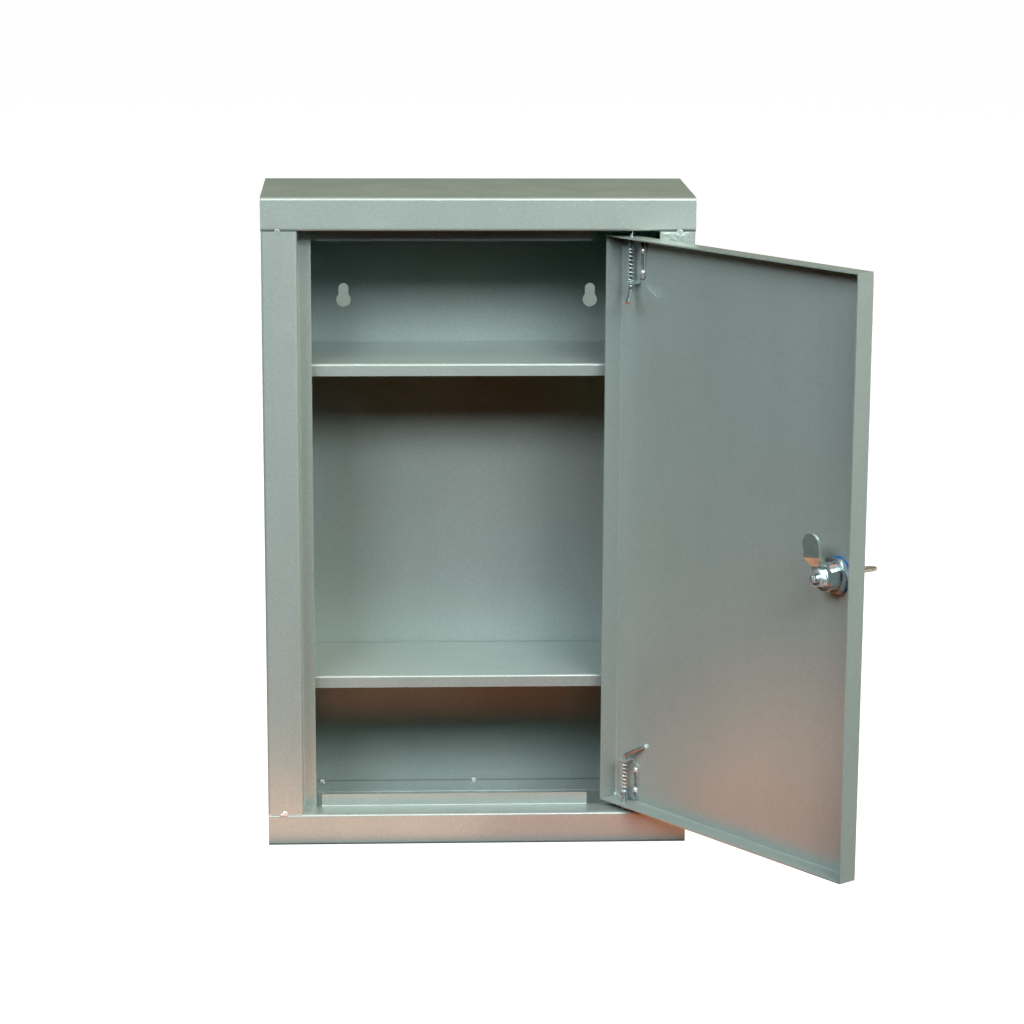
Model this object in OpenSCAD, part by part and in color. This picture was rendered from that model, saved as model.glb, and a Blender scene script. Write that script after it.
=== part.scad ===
// Wall-hung sheet steel cabinet with one lockable door, two fixed shelves,
// spring-loaded pin hinges and a quarter-turn cam lock.
// Frame: origin at the middle of the base, +Z up, the front faces -Y,
// the wall face is +Y and the door is hung at +X.

/* [Body] */
// Outside width of the body
body_w = 300; // [240:5:360]
// Outside height of the body
body_h = 465; // [380:5:560]
// Outside depth of the body, from the front face to the wall
body_d = 125; // [100:1:170]
// Thickness of the folded steel sheet
sheet = 1; // [0.8:0.1:1.2]
// Inside radius of every fold
bend_r = 1; // [0.6:0.1:1.4]
// Width of the upright front strips at the sides of the opening
stile_w = 25; // [21:0.5:32]
// Height of the front strips above and below the opening
rail_h = 23; // [19:0.5:30]
// Depth of the door stop lips behind the front face
stop_set = 19.5; // [18.5:0.5:23]
// Reach of the door stop lips into the opening
stop_lip = 9; // [8:0.5:12]
// Width of the flanges that are turned in for welding
weld_flange = 10; // [8:0.5:14]
// Width of the flat hem on the hinge side strip
hem_w = 9; // [6:0.5:12]

/* [Shelves] */
// Distance from the top of the body down to the upper shelf
upper_shelf_drop = 119.5; // [70:0.5:140]
// Height of the lower shelf's top face above the base
lower_shelf_z = 118.5; // [70:0.5:140]
// Depth of the flanges round each shelf
shelf_flange = 9; // [7:0.5:14]

/* [Wall keyholes] */
// Distance between the two keyholes
keyhole_spacing = 180; // [120:1:190]
// Offset of the keyhole pair from the middle of the back
keyhole_shift = -4.5; // [-10:0.5:10]
// Distance from the top of the body down to the round entries
keyhole_drop = 88.5; // [75:0.5:105]
// Diameter of the round entry for the screw head
keyhole_entry_d = 10.5; // [9:0.1:12]
// Width of the slot above the entry
keyhole_slot_w = 7.3; // [5:0.1:7.3]
// Height of the slot's end above the entry's centre
keyhole_rise = 8.5; // [8:0.5:12]

/* [Door] */
// Depth of the door tray
door_d = 15.5; // [13:0.1:18.6]
// Gap round the door at the top, the bottom and the latch side
door_gap = 4.5; // [3:0.5:6]
// Gap between the door and the strip at the hinge side
hinge_gap = 1.5; // [1.3:0.1:2.5]
// Angle at which the door stands open
door_open = 127; // [0:1:131]
// Width of the open seam at each corner of a tray
corner_seam = 0.5; // [0.3:0.1:1]

/* [Hinge units] */
// Distance of the hinge pins from the door's hinge edge
pin_inset = 17.5; // [16:0.5:20]
// Diameter of the hinge pins
pin_d = 3; // [2.4:0.1:3.6]
// Length of pin that stands past the ledge that holds it
pin_catch = 3; // [2:0.5:6]
// Radial play of a pin in its holes
pin_play = 0.15; // [0.05:0.05:0.3]
// Distance of the crimped ears of each pin from the door's end
ear_set = 5; // [3:0.5:7]
// Angle of the bent finger tail of each pin
tail_bend = 60; // [30:1:75]
// Straight length of the finger tail
tail_len = 15; // [8:1:18]
// Length of each hinge bracket along the door
bracket_len = 33; // [30:0.5:40]
// Thickness of the hinge brackets
bracket_t = 1.2; // [1:0.1:1.6]
// Wire diameter of the hinge springs
spring_wire = 0.6; // [0.4:0.1:0.8]
// Number of turns of each hinge spring
spring_turns = 10; // [7:1:12]

/* [Cam lock] */
// Distance of the lock's axis from the door's latch edge
lock_inset = 24.2; // [22:0.1:30]
// Height of the lock's axis above the middle of the door
lock_rise = 1.3; // [-20:0.1:20]
// Angle by which the unlocked cam stands past upright
cam_lean = 8; // [0:1:12]
// Outside diameter of the threaded barrel
barrel_d = 18; // [17.4:0.1:23]
// Depth of each of the barrel's two flats
barrel_flat_cut = 1.25; // [0.8:0.05:1.5]
// Distance from the door's outer face to the barrel's back end
barrel_len = 15.5; // [14.5:0.5:20]
// Reach of the lock's outer head past the barrel
head_rim = 3; // [2:0.1:5]
// Thickness of the lock's outer head
head_h = 2.8; // [2:0.1:4]
// Wall of the barrel nut at its flats
nut_wall = 2.7; // [1.5:0.1:4]
// Thickness of the barrel nut
nut_h = 3.5; // [2.5:0.1:5]
// Width of the blue gasket's ring
gasket_band = 3.4; // [3:0.1:6]
// Thickness of the blue gasket
gasket_h = 1.6; // [1:0.1:2.5]
// Diameter of the turning plug
plug_d = 12.2; // [11.4:0.1:12.6]
// Distance from the lock's axis to the tip of the cam
cam_reach = 30.5; // [27:0.5:36]
// Width of the cam
cam_w = 14.8; // [13:0.1:18]
// Step of the cam away from the door
cam_step = 6.8; // [5:0.1:8]
// Number of wafers in the plug
wafer_count = 5; // [3:1:5]

/* [Hidden] */

paint = "#a3b4ae";
zinc = "#c3c9cc";
gasket_blue = "#0d58b8";

$fn = 48;
// Overshoot of a cut past the face it opens
cut = 1;
half_w = body_w / 2;
bend_out = bend_r + sheet;

// Opening of the body, and the door that hangs in it
open_left = -half_w + stile_w;
open_right = half_w - stile_w;
open_top = body_h - rail_h;
door_left = open_left + door_gap;
door_right = open_right - hinge_gap;
door_bottom = rail_h + door_gap;
door_top = open_top - door_gap;
door_w = door_right - door_left;
door_h = door_top - door_bottom;

// Hinge axis, measured from the middle and from the front face
pin_x = door_right - pin_inset;
pin_set = door_d / 2;
swing_r = sqrt(pow(pin_inset, 2) + pow(pin_set, 2));

// The stop lips end short of the swing of the door's hinge edge
lip_swing_gap = 7;
lip_corner_gap = 4;
lip_left = open_left + stop_lip + lip_corner_gap;
lip_right = pin_x - swing_r - lip_swing_gap;
hem_r = 0.1;

// Shelves stand clear behind the swing of the door's hinge edge
shelf_swing_gap = 1.1;
shelf_set = pin_set + swing_r + shelf_swing_gap;
upper_shelf_z = body_h - upper_shelf_drop;
shelf_w = body_w - 2 * sheet;
shelf_d = body_d - sheet - shelf_set;

// The back is let in a little from the edges, for its weld seam
back_inset = 1.5;
keyhole_z = body_h - keyhole_drop;

// Hinge units: heights are measured inwards from the door's end face
pin_hole_d = pin_d + 2 * pin_play;
pin_out = door_gap + sheet + pin_catch;
ear_reach = 1.6;
ear_w = pin_d + 2 * ear_reach;
ear_h = 3;
ear_t = 1.2;
tail_turn_r = 3.5;
crease_h = 0.6;
crease_rise = 0.08;
pin_past_lug = 0.5;
tip_chamfer = 0.6;
lug_rim = 1.7;
lug_w = pin_hole_d + 2 * lug_rim;
lug_z = bracket_len - bracket_t;
bracket_near = 2.5;
bracket_w = 13.5;
bracket_off = -8.5;
bracket_corner = 2.8;
bracket_fold_r = 0.6;
neck_len = 3.5;
slot_w = 2.6;
slot_off = bracket_off + bracket_corner;
slot_past_stud = 5;
stud_first = 10;
stud_end_set = 8;
stud_pitch = bracket_len - stud_end_set - stud_first;
stud_shank_d = 2.5;
stud_head_d = 4.6;
stud_head_h = 1.4;
// The upper tail stands away from the door skin, the lower one leans close to it
tail_reach = tail_turn_r * (1 - cos(tail_bend)) + tail_len * sin(tail_bend);
tail_gap = 0.33;
upper_tail_dir = 129;
lower_tail_dir = 180 + asin((pin_set - sheet - pin_d / 2 - tail_gap) / tail_reach);
spring_r = pin_d / 2 + pin_play + spring_wire / 2;
spring_from = ear_set + ear_h + 0.05;
spring_to = lug_z - 0.05;

// Lock: depths are measured inwards from the door's outer face
lock_x = door_left + lock_inset;
lock_z = (door_bottom + door_top) / 2 + lock_rise;
barrel_clear = 0.1;
barrel_flat = barrel_d - 2 * barrel_flat_cut;
head_d = barrel_d + 2 * head_rim;
nut_af = barrel_d + 2 * nut_wall;
gasket_d = barrel_d + 2 * gasket_band;
plug_play = 0.06;
plug_face_rim = 1;
face_d = plug_d + 2 * plug_face_rim;
face_h = 1;
face_play = 0.3;
plug_front = -head_h + 0.4;
rim_h = 1.6;
rim_band = 0.9;
rim_in_r = plug_d / 2 + rim_band;
stop_lobe = 60;
plug_swing = 90 + cam_lean;
stop_slack = 2;
stop_swing = plug_swing + 2 * stop_slack;
lobe_turn = plug_swing / 2 - cam_lean;
washer_play = 0.3;
shoulder = barrel_len - rim_h + washer_play;
tail_d = 6.6;
tail_flat = 5.2;
tail_play = 0.1;
cam_t = 2;
cam_front = barrel_len + washer_play;
cam_bend_from = 8.5;
lock_washer_h = 0.5;
lock_washer_d = 12.6;
cam_nut_af = 11;
cam_nut_h = 2.8;
nut_front = cam_front + cam_t + lock_washer_h;
tail_past_nut = 3;
plug_back = nut_front + cam_nut_h + tail_past_nut;

// Key and the wafers that it lifts
blade_w = 7;
blade_t = 1.8;
blade_play = 0.15;
blade_end = barrel_len - rim_h - 0.7;
blade_tip = 2;
blade_tip_w = 1.6;
bow_d = 19;
bow_t = 1.9;
neck_w = 9;
bow_far = 31.5;
key_front = plug_front - 0.1;
wafer_t = 1;
wafer_w = 4.6;
wafer_play = 0.1;
wafer_first = 1.6;
wafer_pitch = (blade_end - wafer_first - 0.6) / wafer_count;
wafer_len = 2 * sqrt(pow(plug_d / 2, 2) - pow(wafer_w / 2, 2)) - 0.3;
wafer_tab_w = 1.6;
wafer_spring_r = 0.5;
wafer_spring_wire = 0.22;
wafer_spring_len = 3.4;

// ---- Frames ----

// Everything is drawn with y measured back from the front face.
module from_front() {
    translate([0, -body_d / 2, 0]) children();
}

// Pieces that hang on the door are drawn shut and then swung open.
module on_door() {
    from_front() translate([pin_x, pin_set, 0]) rotate(door_open)
        translate([-pin_x, -pin_set, 0]) children();
}

// Lock axis: +Z runs inwards from the door's outer face.
module at_lock() {
    on_door() translate([lock_x, 0, lock_z]) rotate([-90, 0, 0]) children();
}

// The plug and all that turns with it, with the cam leaning past upright.
module at_plug() {
    at_lock() rotate(cam_lean) children();
}

// One hinge unit: the origin is on the pin's axis at the door's end face, +Z into the door.
module at_upper_hinge() {
    on_door() translate([pin_x, pin_set, door_top]) mirror([0, 0, 1]) children();
}

module at_lower_hinge() {
    on_door() translate([pin_x, pin_set, door_bottom]) children();
}

// ---- Folded sheet ----

// How far a fold of the given turn reaches back along the runs that it joins.
function fold_reach(turn) =
    abs(turn) == 180 ? hem_r + sheet : turn > 0 ? bend_out : bend_r;

// The curved part of a fold about the origin, for a sheet that arrives along +x.
module fold_arc(turn) {
    inner = abs(turn) == 180 ? hem_r : bend_r;
    outer = inner + sheet;
    low = turn > 0 ? -outer : abs(turn) == 180 ? -outer : 0;
    intersection() {
        difference() {
            circle(outer);
            circle(inner);
        }
        translate([0, low]) square([outer, abs(turn) == 180 ? 2 * outer : outer]);
    }
}

// End view of a folded sheet. The line of runs is one face of the sheet, and the
// sheet lies on its left. Each turn is 90 or -90 degrees, or 180 for a hem.
module folded_outline(runs, turns, i = 0) {
    before = i > 0 ? fold_reach(turns[i - 1]) : 0;
    after = i < len(turns) ? fold_reach(turns[i]) : 0;
    flat = runs[i] - before - after;
    square([flat, sheet]);
    if (i < len(turns)) {
        inner = abs(turns[i]) == 180 ? hem_r : bend_r;
        hub = turns[i] > 0 ? sheet + inner : -inner;
        translate([flat, hub]) {
            fold_arc(turns[i]);
            rotate(turns[i]) translate([0, -hub]) folded_outline(runs, turns, i + 1);
        }
    }
}

// Plan of a side, top or bottom: weld flange, wall, front strip, ledge and stop lip.
// x is the distance in from the outer face, y the distance back from the front.
module frame_outline(strip, tail, turns) {
    translate([weld_flange, body_d - sheet]) rotate(180)
        folded_outline(concat([weld_flange, body_d - sheet, strip], tail), turns);
}

// Plain wall with its weld flange, for the ends of a side behind the front strips.
module wall_outline() {
    translate([0, sheet]) square([sheet, 2 * bend_out]);
    intersection() {
        frame_outline(stile_w, [], [90, 90]);
        translate([0, bend_out]) square([weld_flange + cut, body_d]);
    }
}

// Section of a block whose two lower edges are rounded like folds.
module round_bottom(w, d, r) {
    translate([r, 0]) square([w - 2 * r, d]);
    translate([0, r]) square([w, d - r]);
    for (x = [r, w - r]) translate([x, r]) circle(r);
}

module tray_block(w, l, d, r) {
    intersection() {
        translate([0, l, 0]) rotate([90, 0, 0]) linear_extrude(l) round_bottom(w, d, r);
        rotate([90, 0, 90]) linear_extrude(w) round_bottom(l, d, r);
    }
}

// Shallow tray with four flanges, open towards +Z, with open seams at its corners.
module tray(w, l, d) {
    difference() {
        tray_block(w, l, d, bend_out);
        translate([sheet, sheet, sheet]) tray_block(w - 2 * sheet, l - 2 * sheet, d, bend_r);
        for (x = [sheet, w - sheet - corner_seam], y = [-cut, l - sheet])
            translate([x, y, bend_out]) cube([corner_seam, sheet + cut, d]);
    }
}

// ---- Springs ----

// Point on a compression coil: the end turns lie close, the middle ones stand open.
function coil_rise(t, turns, wire, length) =
    let (open = (length - 3 * wire) / (turns - 2))
    t < 1 ? wire * (0.5 + t)
    : t > turns - 1 ? length - wire * (0.5 + turns - t)
    : wire * 1.5 + open * (t - 1);

// Wound wire from z = 0 up to z = length.
module coil_spring(r, wire, length, turns, steps, sides) {
    rings = turns * steps;
    points = [
        for (k = [0 : rings], s = [0 : sides - 1])
            let (
                a = 360 * k / steps,
                b = 360 * s / sides,
                out = r + wire / 2 * cos(b)
            )
            [out * cos(a), out * sin(a), coil_rise(k / steps, turns, wire, length) + wire / 2 * sin(b)]
    ];
    walls = [
        for (k = [0 : rings - 1], s = [0 : sides - 1])
            let (n = (s + 1) % sides)
            each [
                [k * sides + s, (k + 1) * sides + s, (k + 1) * sides + n],
                [k * sides + s, (k + 1) * sides + n, k * sides + n]
            ]
    ];
    ends = [
        [for (s = [0 : sides - 1]) s],
        [for (s = [sides - 1 : -1 : 0]) rings * sides + s]
    ];
    polyhedron(points, concat(walls, ends), convexity = turns);
}

// ---- Body ----

module keyhole() {
    circle(d = keyhole_entry_d);
    translate([-keyhole_slot_w / 2, 0]) square([keyhole_slot_w, keyhole_rise]);
    translate([0, keyhole_rise]) circle(d = keyhole_slot_w);
}

module back_panel() {
    color(paint) from_front() translate([0, body_d, 0]) rotate([90, 0, 0])
        linear_extrude(sheet) difference() {
            translate([-half_w + back_inset, back_inset])
                square([body_w - 2 * back_inset, body_h - 2 * back_inset]);
            for (side = [-1, 1])
                translate([keyhole_shift + side * keyhole_spacing / 2, keyhole_z]) keyhole();
        }
}

// Flange turned in at the top and bottom of a side, drawn for the bottom end.
module end_flange() {
    flange_from = stop_set + sheet + cut;
    flange_to = body_d - sheet - weld_flange;
    translate([0, flange_to, sheet]) rotate([90, 0, 0]) linear_extrude(flange_to - flange_from)
        translate([0, bend_out + sheet]) rotate(-90)
            folded_outline([bend_out + sheet, weld_flange], [90]);
    for (zone = [[bend_out, flange_from], [flange_to, body_d - sheet - bend_out]])
        translate([0, zone[0], sheet]) cube([sheet, zone[1] - zone[0], bend_out]);
}

// Side drawn for the latch side, with its outer face at x = 0.
module side_panel(tail, turns) {
    end_h = rail_h - sheet - bend_out;
    translate([0, 0, rail_h]) linear_extrude(body_h - 2 * rail_h) frame_outline(stile_w, tail, turns);
    for (top = [0, 1])
        translate([0, 0, top * body_h]) mirror([0, 0, top]) {
            translate([0, 0, sheet + bend_out]) linear_extrude(end_h) wall_outline();
            end_flange();
        }
}

module left_side_panel() {
    color(paint) from_front() translate([-half_w, 0, 0])
        side_panel([stop_set, stop_lip], [90, 90, 90, -90]);
}

module right_side_panel() {
    color(paint) from_front() translate([half_w, 0, 0]) mirror([1, 0, 0])
        side_panel([hem_w], [90, 90, 180]);
}

// Bottom drawn with its front strip, ledge and stop lip; the top is its mirror image.
module end_panel() {
    ends_clear = weld_flange + cut;
    difference() {
        translate([-half_w, 0, 0]) rotate([90, 0, 90]) linear_extrude(body_w) mirror([1, 0])
            rotate(90) frame_outline(rail_h, [stop_set, stop_lip], [90, 90, 90, -90]);
        for (side = [-1, 1]) {
            // ends of the back flange, clear of the side flanges
            translate([side * half_w - ends_clear, body_d - sheet - bend_out, sheet])
                cube([2 * ends_clear, bend_out + cut, body_h]);
            // ends of the ledge, clear of the side walls
            translate([side * half_w - sheet, bend_out, bend_out])
                cube([2 * sheet, stop_set + cut, rail_h]);
        }
        translate([-half_w - cut, stop_set - bend_r, rail_h])
            cube([lip_left + half_w + cut, sheet + bend_out, stop_lip + cut]);
        translate([lip_right, stop_set - bend_r, rail_h])
            cube([half_w - lip_right + cut, sheet + bend_out, stop_lip + cut]);
        translate([pin_x, pin_set, rail_h - bend_out]) cylinder(d = pin_hole_d, h = 2 * bend_out);
    }
}

module bottom_panel() {
    color(paint) from_front() end_panel();
}

module top_panel() {
    color(paint) from_front() translate([0, 0, body_h]) mirror([0, 0, 1]) end_panel();
}

module shelf() {
    notch = weld_flange + cut;
    difference() {
        translate([-shelf_w / 2, shelf_set, 0]) mirror([0, 0, 1]) tray(shelf_w, shelf_d, shelf_flange);
        for (side = [-1, 1])
            translate([side * half_w - notch, body_d - 2 * sheet, -shelf_flange - cut])
                cube([2 * notch, 2 * sheet, shelf_flange + 2 * cut]);
    }
}

module upper_shelf() {
    color(paint) from_front() translate([0, 0, upper_shelf_z]) shelf();
}

module lower_shelf() {
    color(paint) from_front() translate([0, 0, lower_shelf_z]) shelf();
}

// ---- Door ----

// Barrel section: a circle with two upright flats.
module barrel_outline(d, flat) {
    intersection() {
        circle(d = d);
        square([flat, d], center = true);
    }
}

module door_panel() {
    color(paint) on_door() difference() {
        translate([door_left, 0, door_top]) rotate([-90, 0, 0]) tray(door_w, door_h, door_d);
        translate([lock_x, -cut, lock_z]) rotate([-90, 0, 0]) linear_extrude(sheet + 2 * cut)
            barrel_outline(barrel_d + 2 * barrel_clear, barrel_flat + 2 * barrel_clear);
        for (z = [door_bottom, door_top])
            translate([pin_x, pin_set, z - bend_out]) cylinder(d = pin_hole_d, h = 2 * bend_out);
    }
}

// Plate with four round corners.
module round_plate(w, h, r) {
    translate([r, 0]) square([w - 2 * r, h]);
    translate([0, r]) square([w, h - 2 * r]);
    for (x = [r, w - r], y = [r, h - r]) translate([x, y]) circle(r);
}

// Side view of a bracket: a strip that lies on the door skin, and a lug folded up from it.
module bracket_fold(skin) {
    hub = skin + bracket_t + bracket_fold_r;
    translate([skin, bracket_near]) square([bracket_t, lug_z - bracket_fold_r - bracket_near]);
    translate([hub, lug_z]) square([lug_w / 2 - hub, bracket_t]);
    translate([hub, lug_z - bracket_fold_r]) intersection() {
        difference() {
            circle(bracket_fold_r + bracket_t);
            circle(bracket_fold_r);
        }
        translate([-2 * bracket_t, 0]) square(2 * bracket_t);
    }
}

// Bracket: a slotted plate flat on the door, and a narrow lug that guides the pin.
module hinge_bracket() {
    skin = -pin_set + sheet;
    plate_len = bracket_len - neck_len - bracket_near;
    difference() {
        intersection() {
            translate([bracket_off, 0, 0]) rotate([90, 0, 90]) linear_extrude(bracket_w) bracket_fold(skin);
            translate([0, skin + 2 * pin_set, 0]) rotate([90, 0, 0]) linear_extrude(2 * pin_set) {
                translate([bracket_off, bracket_near]) round_plate(bracket_w, plate_len, bracket_corner);
                translate([-lug_w / 2, bracket_near + bracket_corner]) square([lug_w, bracket_len]);
            }
            linear_extrude(bracket_len + cut) {
                translate([bracket_off, skin]) square([bracket_w, bracket_t + bracket_fold_r]);
                translate([-lug_w / 2, skin]) square([lug_w, -skin]);
                circle(d = lug_w);
            }
        }
        translate([0, 0, lug_z - cut]) cylinder(d = pin_hole_d, h = bracket_t + 2 * cut);
        translate([slot_off, skin - cut, stud_first]) rotate([-90, 0, 0])
            linear_extrude(bracket_t + 2 * cut) {
                translate([0, slot_past_stud]) circle(d = slot_w);
                translate([-slot_w / 2, -stud_pitch]) square([slot_w, stud_pitch + slot_past_stud]);
                translate([0, -stud_pitch]) circle(d = slot_w);
            }
    }
}

module upper_hinge_bracket() {
    color(zinc) at_upper_hinge() hinge_bracket();
}

module lower_hinge_bracket() {
    color(zinc) at_lower_hinge() hinge_bracket();
}

// Weld studs on the door skin, peened to a dome over the bracket.
module stud_pair() {
    skin = -pin_set + sheet;
    dome_r = (pow(stud_head_d / 2, 2) + pow(stud_head_h, 2)) / (2 * stud_head_h);
    for (k = [0, 1])
        translate([slot_off, skin, stud_first + k * stud_pitch]) rotate([-90, 0, 0]) {
            cylinder(d = stud_shank_d, h = bracket_t);
            translate([0, 0, bracket_t]) rotate_extrude() intersection() {
                translate([0, stud_head_h - dome_r]) circle(dome_r);
                square([stud_head_d / 2, stud_head_h]);
            }
        }
}

module bracket_studs() {
    color(zinc) {
        at_upper_hinge() stud_pair();
        at_lower_hinge() stud_pair();
    }
}

// Spring pin: a rod with crimped ears, and a tail bent over to pull it by.
module hinge_pin(tail_dir) {
    straight = bracket_len + pin_past_lug + pin_out;
    rotate(tail_dir) {
        translate([0, 0, -pin_out]) {
            cylinder(d1 = pin_d - 2 * tip_chamfer, d2 = pin_d, h = tip_chamfer);
            translate([0, 0, tip_chamfer]) cylinder(d = pin_d, h = straight - tip_chamfer);
        }
        translate([tail_turn_r, 0, straight - pin_out]) rotate([90, 0, 180]) {
            rotate_extrude(angle = tail_bend) translate([tail_turn_r, 0]) circle(d = pin_d);
            rotate(tail_bend) translate([tail_turn_r, 0, 0]) rotate([-90, 0, 0]) {
                translate([0, 0, -crease_h / 2]) cylinder(d = pin_d + crease_rise, h = crease_h);
                translate([0, 0, crease_h / 4]) cylinder(d = pin_d, h = tail_len);
            }
        }
    }
    translate([0, 0, ear_set]) intersection() {
        translate([-ear_w / 2, -ear_t / 2, 0]) cube([ear_w, ear_t, ear_h]);
        translate([0, ear_t, ear_h / 2]) rotate([90, 0, 0]) cylinder(d = ear_w, h = 2 * ear_t);
    }
}

module upper_hinge_pin() {
    color(zinc) at_upper_hinge() hinge_pin(upper_tail_dir);
}

module lower_hinge_pin() {
    color(zinc) at_lower_hinge() hinge_pin(lower_tail_dir);
}

module hinge_spring() {
    translate([0, 0, spring_from])
        coil_spring(spring_r, spring_wire, spring_to - spring_from, spring_turns, 14, 6);
}

module upper_hinge_spring() {
    color(zinc) at_upper_hinge() hinge_spring();
}

module lower_hinge_spring() {
    color(zinc) at_lower_hinge() hinge_spring();
}

// ---- Lock ----

// Wedge of a circle from angle a to angle b, wide enough to cut any lock part.
module wedge(a, b) {
    far = 2 * barrel_d;
    steps = 6;
    polygon(concat([[0, 0]], [for (k = [0 : steps]) let (c = a + (b - a) * k / steps) [far * cos(c), far * sin(c)]]));
}

// Head, barrel with two flats, and a rim that limits the stop washer.
module lock_body() {
    bore_d = plug_d + 2 * plug_play;
    groove_w = wafer_w + 0.4;
    groove_d = 0.9;
    color(zinc) at_lock() difference() {
        union() {
            rotate_extrude() polygon([
                [0, -head_h], [head_d / 2 - 1.4, -head_h], [head_d / 2, -head_h + 1.2], [head_d / 2, 0], [0, 0]
            ]);
            linear_extrude(barrel_len) barrel_outline(barrel_d, barrel_flat);
        }
        translate([0, 0, -head_h - cut]) cylinder(d = bore_d, h = barrel_len + head_h + 2 * cut);
        translate([0, 0, -head_h - cut]) cylinder(d = face_d + 2 * face_play, h = cut + head_h + plug_front + face_h + 0.2);
        for (turn = [0, 90])
            rotate(turn) translate([-bore_d / 2 - groove_d, -groove_w / 2, wafer_first - 1])
                cube([bore_d + 2 * groove_d, groove_w, wafer_pitch * wafer_count + 1]);
        translate([0, 0, barrel_len - rim_h]) {
            cylinder(r = rim_in_r, h = rim_h + cut);
            linear_extrude(rim_h + cut) wedge(-stop_swing / 2 - stop_lobe / 2, stop_swing / 2 + stop_lobe / 2);
        }
    }
}

// Ring seal between the door skin and the barrel nut.
module lock_gasket() {
    color(gasket_blue) at_lock() translate([0, 0, sheet]) difference() {
        cylinder(d = gasket_d, h = gasket_h);
        translate([0, 0, -cut]) cylinder(d = barrel_d + 2 * barrel_clear, h = gasket_h + 2 * cut);
    }
}

// Six-sided nut with both ends turned to a chamfer.
module hex_nut(af, h, hole_d) {
    corner_d = af / cos(30);
    chamfer = (corner_d - af) / 2;
    rise = chamfer * tan(30);
    difference() {
        intersection() {
            cylinder(d = corner_d, h = h, $fn = 6);
            rotate_extrude() polygon([
                [0, 0], [corner_d / 2 - chamfer, 0], [corner_d / 2, rise],
                [corner_d / 2, h - rise], [corner_d / 2 - chamfer, h], [0, h]
            ]);
        }
        translate([0, 0, -cut]) cylinder(d = hole_d, h = h + 2 * cut);
    }
}

module lock_nut() {
    color(zinc) at_lock() translate([0, 0, sheet + gasket_h]) hex_nut(nut_af, nut_h, barrel_d + 2 * barrel_clear);
}

// Tail section of the plug: a circle with two flats that the cam and washer slip over.
module tail_outline(play) {
    intersection() {
        circle(d = tail_d + 2 * play);
        square([tail_d + 2 * play, tail_flat + 2 * play], center = true);
    }
}

function wafer_z(i) = wafer_first + i * wafer_pitch;

// Turning plug: front face, keyway, wafer slots, spring pockets and flatted tail.
module lock_plug() {
    color(zinc) at_plug() difference() {
        union() {
            translate([0, 0, plug_front]) cylinder(d = face_d, h = face_h);
            translate([0, 0, plug_front]) cylinder(d = plug_d, h = shoulder - plug_front);
            translate([0, 0, plug_front]) linear_extrude(plug_back - plug_front) tail_outline(0);
        }
        translate([-blade_w / 2 - blade_play, -blade_t / 2 - blade_play, plug_front - cut])
            cube([blade_w + 2 * blade_play, blade_t + 2 * blade_play, blade_end - plug_front + cut + 0.3]);
        for (i = [0 : wafer_count - 1])
            translate([0, 0, wafer_z(i)]) {
                translate([-plug_d, -wafer_w / 2 - wafer_play, -wafer_play])
                    cube([2 * plug_d, wafer_w + 2 * wafer_play, wafer_t + 2 * wafer_play]);
                translate([-wafer_spring_len, wafer_w / 2, -wafer_play])
                    cube([wafer_spring_len + wafer_tab_w + wafer_play, wafer_tab_w + wafer_play, wafer_t + 2 * wafer_play]);
            }
    }
}

// Washer whose lobe meets the ends of the rim's window, a quarter turn apart.
module stop_washer() {
    color(zinc) at_plug() translate([0, 0, shoulder])
        linear_extrude(rim_h) difference() {
            union() {
                circle(r = rim_in_r - washer_play);
                intersection() {
                    circle(d = barrel_flat);
                    rotate(lobe_turn) wedge(-stop_lobe / 2, stop_lobe / 2);
                }
            }
            tail_outline(tail_play);
        }
}

// Stepped bar with round ends; its tip goes behind the stop lip when the door is locked.
module lock_cam() {
    web_end = cam_bend_from + cam_step;
    color(zinc) at_plug() translate([0, 0, cam_front]) difference() {
        intersection() {
            rotate([90, 0, 90]) translate([0, 0, -cam_w / 2]) linear_extrude(cam_w) polygon([
                [cam_w, 0], [-cam_bend_from, 0], [-web_end, cam_step], [-cam_reach, cam_step],
                [-cam_reach, cam_step + cam_t], [-web_end + cam_t * tan(22.5), cam_step + cam_t],
                [-cam_bend_from + cam_t * tan(22.5), cam_t], [cam_w, cam_t]
            ]);
            translate([0, 0, -cut]) linear_extrude(cam_step + cam_t + 2 * cut) {
                circle(d = cam_w);
                translate([-cam_w / 2, -cam_reach + cam_w / 2]) square([cam_w, cam_reach - cam_w / 2]);
                translate([0, -cam_reach + cam_w / 2]) circle(d = cam_w);
            }
        }
        translate([0, 0, -cut]) linear_extrude(cam_t + 2 * cut) tail_outline(tail_play);
    }
}

// Washer under the cam nut, with teeth that bite the cam.
module cam_lock_washer() {
    teeth = 12;
    color(zinc) at_plug() translate([0, 0, cam_front + cam_t]) linear_extrude(lock_washer_h) difference() {
        circle(d = lock_washer_d);
        circle(d = tail_d + 2 * tail_play);
        for (k = [0 : teeth - 1])
            rotate(360 * k / teeth) translate([lock_washer_d / 2, 0]) circle(d = 1.2, $fn = 16);
    }
}

module cam_nut() {
    color(zinc) at_plug() translate([0, 0, nut_front]) hex_nut(cam_nut_af, cam_nut_h, tail_d + 2 * tail_play);
}

// Flat wafers, each with a window for the key and a tab that its spring pushes.
module wafer_tumblers() {
    color("#c8a44a") at_plug() for (i = [0 : wafer_count - 1])
        translate([0, 0, wafer_z(i)]) linear_extrude(wafer_t) difference() {
            union() {
                translate([-wafer_len / 2, -wafer_w / 2]) square([wafer_len, wafer_w]);
                translate([0, wafer_w / 2 - 0.2]) square([wafer_tab_w, wafer_tab_w]);
            }
            square([blade_w + 2 * blade_play, blade_t + 2 * blade_play], center = true);
        }
}

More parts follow.
